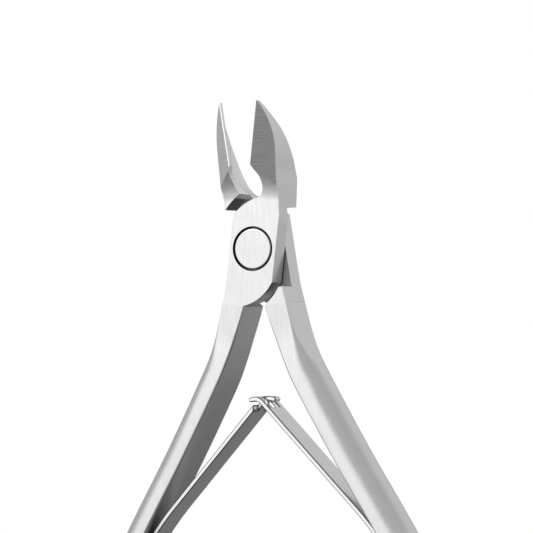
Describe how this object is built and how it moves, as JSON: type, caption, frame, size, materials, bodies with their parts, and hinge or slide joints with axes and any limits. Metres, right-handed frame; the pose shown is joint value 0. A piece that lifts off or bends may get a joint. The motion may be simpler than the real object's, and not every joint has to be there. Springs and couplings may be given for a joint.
{
  "type": "cuticle nipper",
  "caption": "Lap-jointed cuticle nipper with short hollow-ground jaws, a flush pivot screw, bowed handles and interlocking leaf springs.",
  "frame": {"origin": "on the pivot axis, at the flat back of the joint", "axes": "+Z from the handles up to the jaw tips, +X to the right as the front is faced, +Y out of the flat back along the pivot axis"},
  "size_m": [0.066, 0.0088, 0.1043],
  "materials": {
    "satin_steel": "fine satin, ground across the jaws and joint and smoother down the handles",
    "screw_steel": "ground flush with the joint",
    "spring_steel": "polished strip"
  },
  "bodies": {
    "rear_half": {"rear_half": "satin_steel", "pivot_screw": "screw_steel", "right_spring_screw": "screw_steel"},
    "front_half": {"front_half": "satin_steel", "left_spring_screw": "screw_steel"},
    "right_leaf": {"right_leaf_spring": "spring_steel"},
    "left_leaf": {"left_leaf_spring": "spring_steel"}
  },
  "joints": [
    {"name": "closing", "type": "hinge", "parent": "rear_half", "child": "front_half", "pos_m": [0, 0, 0], "axis": [0, -1, 0], "range_deg": [0, 16], "stiffness_Nm_per_rad": 1.2, "springref_deg": -6.88, "deforming": ["right_leaf_spring", "left_leaf_spring"]},
    {"name": "right_leaf_flex", "type": "hinge", "parent": "rear_half", "child": "right_leaf", "pos_m": [0.014, 0, -0.034], "axis": [0, 1, 0], "range_deg": [0, 9]},
    {"name": "left_leaf_flex", "type": "hinge", "parent": "front_half", "child": "left_leaf", "pos_m": [-0.014, 0, -0.034], "axis": [0, -1, 0], "range_deg": [0, 9]}
  ],
  "couplings": [
    {"joint": "right_leaf_flex", "follows": "closing", "ratio": 0.5625},
    {"joint": "left_leaf_flex", "follows": "closing", "ratio": 0.5625}
  ]
}
